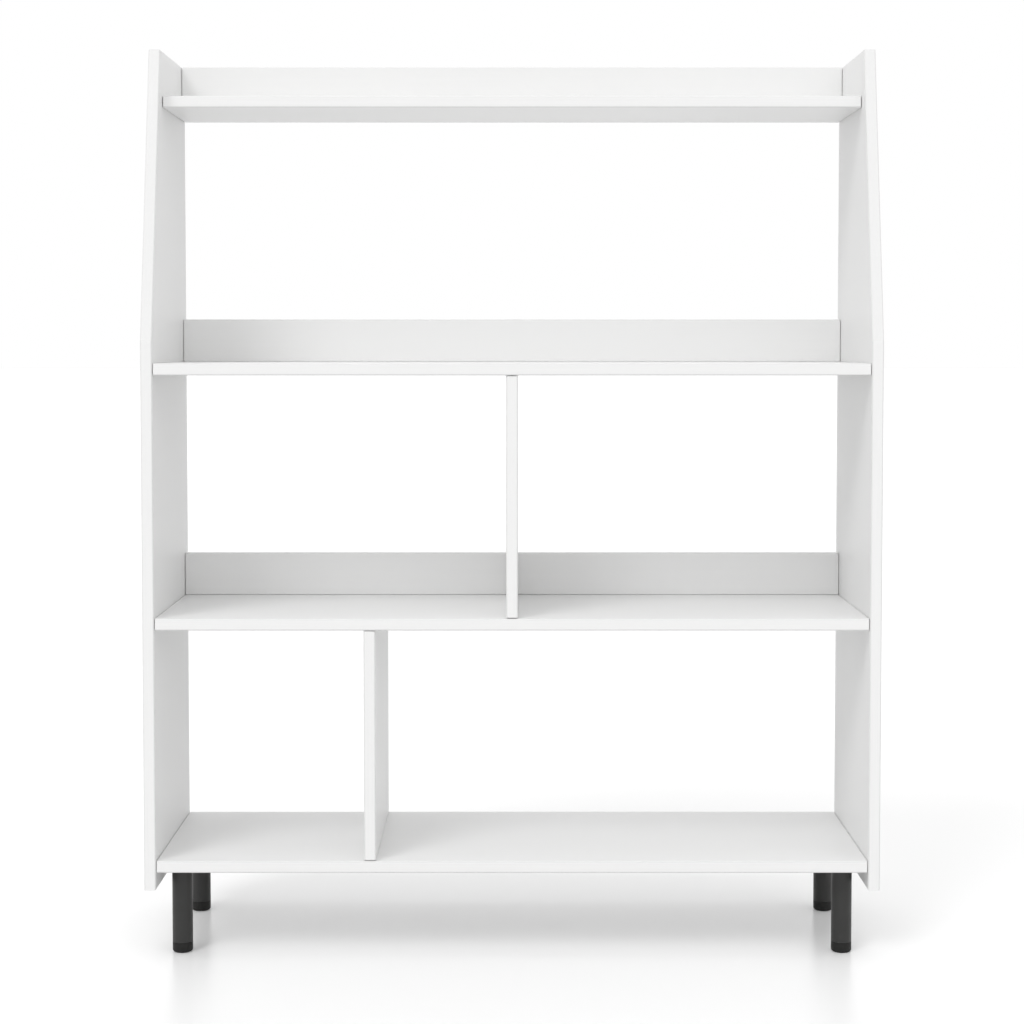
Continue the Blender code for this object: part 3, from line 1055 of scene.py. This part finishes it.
class BOOKCASE_OT_legs(bpy.types.Operator):
    """Makes the coated steel legs, their plugs and the insert nuts in the bottom shelf"""

    bl_idname = "bookcase.legs"
    bl_label = "Legs"

    def execute(self, context):
        sizes = context.scene.bookcase_legs
        gap = context.scene.bookcase_fasteners.clearance
        shelf_underside = box_of("bottom_shelf")[0][Z]
        for place in PLACES:
            centre = leg_centre(place)
            node = f"{place}_leg"
            tip = box_of(node)[1][Z]
            radius = radius_of(node)
            mesh = mesh_of(node, leg_rings(radius, shelf_underside - gap, tip) + centre)
            finish = finish_coat()
            shown(f"{node}_coated", mesh, finish, node=node, smooth=True)
            bore = radius - sizes.wall - gap
            inner = sizes.stud_radius + gap
            for part, outer, finish, slot in (
                ("plug", bore, finish_plastic(), "black_plastic"),
                ("insert", sizes.insert_radius, finish_zinc(), "zinc_steel"),
            ):
                node = f"{place}_leg_{part}"
                low, high = box_of(node)
                rings = sleeve_rings(inner, outer, low[Z], high[Z], sizes.lip) + centre
                mesh = mesh_of(node, rings, wrap=True)
                shown(f"{node}_turned", mesh, finish, node=node, smooth=True)
        return {"FINISHED"}


class BOOKCASE_OT_feet(bpy.types.Operator):
    """Makes the levelling studs and the foot pads, each riding on its own body"""

    bl_idname = "bookcase.feet"
    bl_label = "Levelling feet"

    def execute(self, context):
        for place in PLACES:
            centre = leg_centre(place)
            node = f"{place}_foot_stud"
            low, high = box_of(node)
            mesh = mesh_of(node, stud_rings(low[Z], high[Z]) + centre)
            name = f"{node}_threaded"
            finish = finish_zinc()
            shown(name, mesh, finish, f"{place}_stud", node, smooth=True)
            node = f"{place}_foot_pad"
            top = box_of(node)[1][Z]
            mesh = mesh_of(node, pad_rings(radius_of(f"{place}_leg"), top) + centre)
            name = f"{node}_moulded"
            finish = finish_plastic()
            shown(name, mesh, finish, f"{place}_foot", node, smooth=True)
        return {"FINISHED"}


# Stage


def looked_at(tree):
    """1 where the camera, a mirroring or a clear surface looks, and 0 for light."""
    path = add_node(tree, "ShaderNodeLightPath").outputs
    seen = path["Is Camera Ray"]
    for kind in ("Is Glossy Ray", "Is Transmission Ray"):
        inputs = {0: seen, 1: path[kind]}
        seen = add_node(tree, "ShaderNodeMath", inputs, operation="MAXIMUM").outputs[0]
    return seen


def finish_floor():
    """Satin pale floor with soft mirroring at low angles. Where it is looked at it is paler
    than in the light that it throws back, and lifted a little towards white."""
    scene = bpy.context.scene
    finishes = scene.bookcase_finishes
    stage = scene.bookcase_stage
    material, tree, place = blank("pale_floor")
    clouds = noise(tree, place, scale=1.5)
    seen = looked_at(tree)
    inputs = {0: seen, 1: stage.floor_lift}
    lift = add_node(tree, "ShaderNodeMath", inputs, operation="MULTIPLY").outputs[0]
    gloss = stage.floor_gloss
    inputs = {
        "Base Color": between(tree, seen, finishes.floor_bounce, finishes.floor),
        "Roughness": spread(tree, clouds, gloss, gloss + FLOOR_VARIATION),
        "Emission Color": WHITE,
        "Emission Strength": lift,
    }
    return closed(material, inputs)


def floor_disc():
    """A floor disc: one ring of points on a circle, filled flat."""
    radius = bpy.context.scene.bookcase_stage.floor_radius
    points = turned([radius], [0.0])[0]
    mesh = bpy.data.meshes.new("floor")
    mesh.from_pydata(points, [], [list(range(len(points)))])
    mesh.materials.append(finish_floor())
    floor = bpy.data.objects.new("floor", mesh)
    bpy.context.scene.collection.objects.link(floor)


def sky():
    """White surroundings: full white where they are looked at, softer as light."""
    world = bpy.data.worlds.new("studio")
    world.use_nodes = True
    tree = world.node_tree
    tree.nodes.clear()
    inputs = {
        "Value": looked_at(tree),
        "To Min": bpy.context.scene.bookcase_stage.sky,
        "To Max": 1.0,
    }
    level = add_node(tree, "ShaderNodeMapRange", inputs).outputs["Result"]
    inputs = {"Color": WHITE, "Strength": level}
    shader = add_node(tree, "ShaderNodeBackground", inputs)
    end = add_node(tree, "ShaderNodeOutputWorld")
    tree.links.new(shader.outputs["Background"], end.inputs["Surface"])
    bpy.context.scene.world = world


def soft_lamp(name, strength, softness, bearing, elevation):
    """A wide lamp far away, at a bearing from the front and an elevation."""
    lamp = bpy.data.lights.new(name, "SUN")
    lamp.angle = softness
    lamp.energy = strength
    holder = bpy.data.objects.new(name, lamp)
    holder.rotation_euler = (math.pi / 2 - elevation, 0.0, bearing)
    bpy.context.scene.collection.objects.link(holder)


def camera():
    """A long lens straight in front of the bookcase, tilted a little down and shifted."""
    stage = bpy.context.scene.bookcase_stage
    view = bpy.data.cameras.new("camera")
    view.lens = stage.lens
    view.sensor_width = SENSOR_WIDTH
    view.shift_y = stage.shift
    holder = bpy.data.objects.new("camera", view)
    holder.location = (0.0, -stage.distance, stage.height)
    holder.rotation_euler = (math.pi / 2 - stage.tilt, 0.0, 0.0)
    bpy.context.scene.collection.objects.link(holder)
    bpy.context.scene.camera = holder


class BOOKCASE_OT_stage(bpy.types.Operator):
    """Sets up the floor, the surroundings, four soft lamps and the camera"""

    bl_idname = "bookcase.stage"
    bl_label = "Stage"

    def execute(self, context):
        floor_disc()
        sky()
        stage = context.scene.bookcase_stage
        soft_lamp("key", stage.key, stage.key_softness, -stage.bearing, stage.elevation)
        soft_lamp("fill", stage.fill, stage.fill_softness, stage.bearing, stage.elevation)
        soft_lamp("front", stage.front, stage.fill_softness, 0.0, stage.front_elevation)
        soft_lamp("top", stage.top, stage.key_softness, 0.0, math.pi / 2)
        camera()
        context.scene.view_settings.view_transform = "Standard"
        return {"FINISHED"}


GROUPS = {
    "bookcase_boards": BoardSizes,
    "bookcase_fasteners": FastenerSizes,
    "bookcase_legs": LegSizes,
    "bookcase_finishes": Finishes,
    "bookcase_stage": StageSettings,
}
OPERATORS = (
    BOOKCASE_OT_side_panels,
    BOOKCASE_OT_shelves,
    BOOKCASE_OT_back_rails,
    BOOKCASE_OT_dividers,
    BOOKCASE_OT_screws,
    BOOKCASE_OT_dowels,
    BOOKCASE_OT_legs,
    BOOKCASE_OT_feet,
    BOOKCASE_OT_stage,
)


class BOOKCASE_PT_panel(bpy.types.Panel):
    """Lists the bookcase's pieces and their sizes"""

    bl_idname = "BOOKCASE_PT_panel"
    bl_label = "Bookcase"
    bl_space_type = "VIEW_3D"
    bl_region_type = "UI"
    bl_category = "Bookcase"

    def draw(self, context):
        for operator in OPERATORS:
            self.layout.operator(operator.bl_idname)
        for attribute, group in GROUPS.items():
            box = self.layout.box()
            for name in group.__annotations__:
                box.prop(getattr(context.scene, attribute), name)


def register():
    """Registers the property groups, the operators and the panel."""
    for group in GROUPS.values():
        bpy.utils.register_class(group)
    for attribute, group in GROUPS.items():
        setattr(bpy.types.Scene, attribute, PointerProperty(type=group))
    for operator in OPERATORS:
        bpy.utils.register_class(operator)
    bpy.utils.register_class(BOOKCASE_PT_panel)


def unregister():
    """Takes out what register puts in, in the opposite order."""
    bpy.utils.unregister_class(BOOKCASE_PT_panel)
    for operator in reversed(OPERATORS):
        bpy.utils.unregister_class(operator)
    for attribute in GROUPS:
        delattr(bpy.types.Scene, attribute)
    for group in reversed(GROUPS.values()):
        bpy.utils.unregister_class(group)


def main():
    register()
    for operator in OPERATORS:
        group, name = operator.bl_idname.split(".")
        getattr(getattr(bpy.ops, group), name)()
    bpy.context.view_layer.update()


if __name__ == "__main__":
    main()
